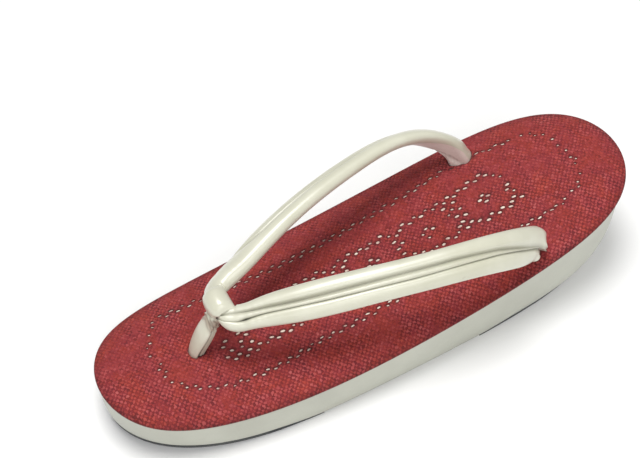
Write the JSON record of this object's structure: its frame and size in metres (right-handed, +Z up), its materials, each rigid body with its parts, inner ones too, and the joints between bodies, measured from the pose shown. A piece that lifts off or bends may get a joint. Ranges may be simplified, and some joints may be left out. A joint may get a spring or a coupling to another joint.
{
  "type": "zori sandal",
  "caption": "Heeled wedge zori sandal with a padded woven footbed, enamel-wrapped platform, ribbed padded thong straps and a toe post.",
  "frame": {"origin": "on the ground under the middle of the outline, between the heel and toe ends", "axes": "+X towards the toe, +Y towards one side, +Z up"},
  "size_m": [0.24, 0.0807, 0.0651],
  "materials": {
    "enamel": "smooth cream enamelled leather, semi-gloss",
    "woven_cloth": "coarse red basket weave with small openwork holes",
    "sole_rubber": "matt dark grey",
    "pearl_leather": "padded pearl cream leather with a soft gloss"
  },
  "bodies": {
    "root": {"platform": "enamel", "footbed": "woven_cloth", "outsole_forefoot": "sole_rubber", "outsole_heel": "sole_rubber", "straps": "pearl_leather", "toe_post": "pearl_leather"}
  },
  "joints": []
}
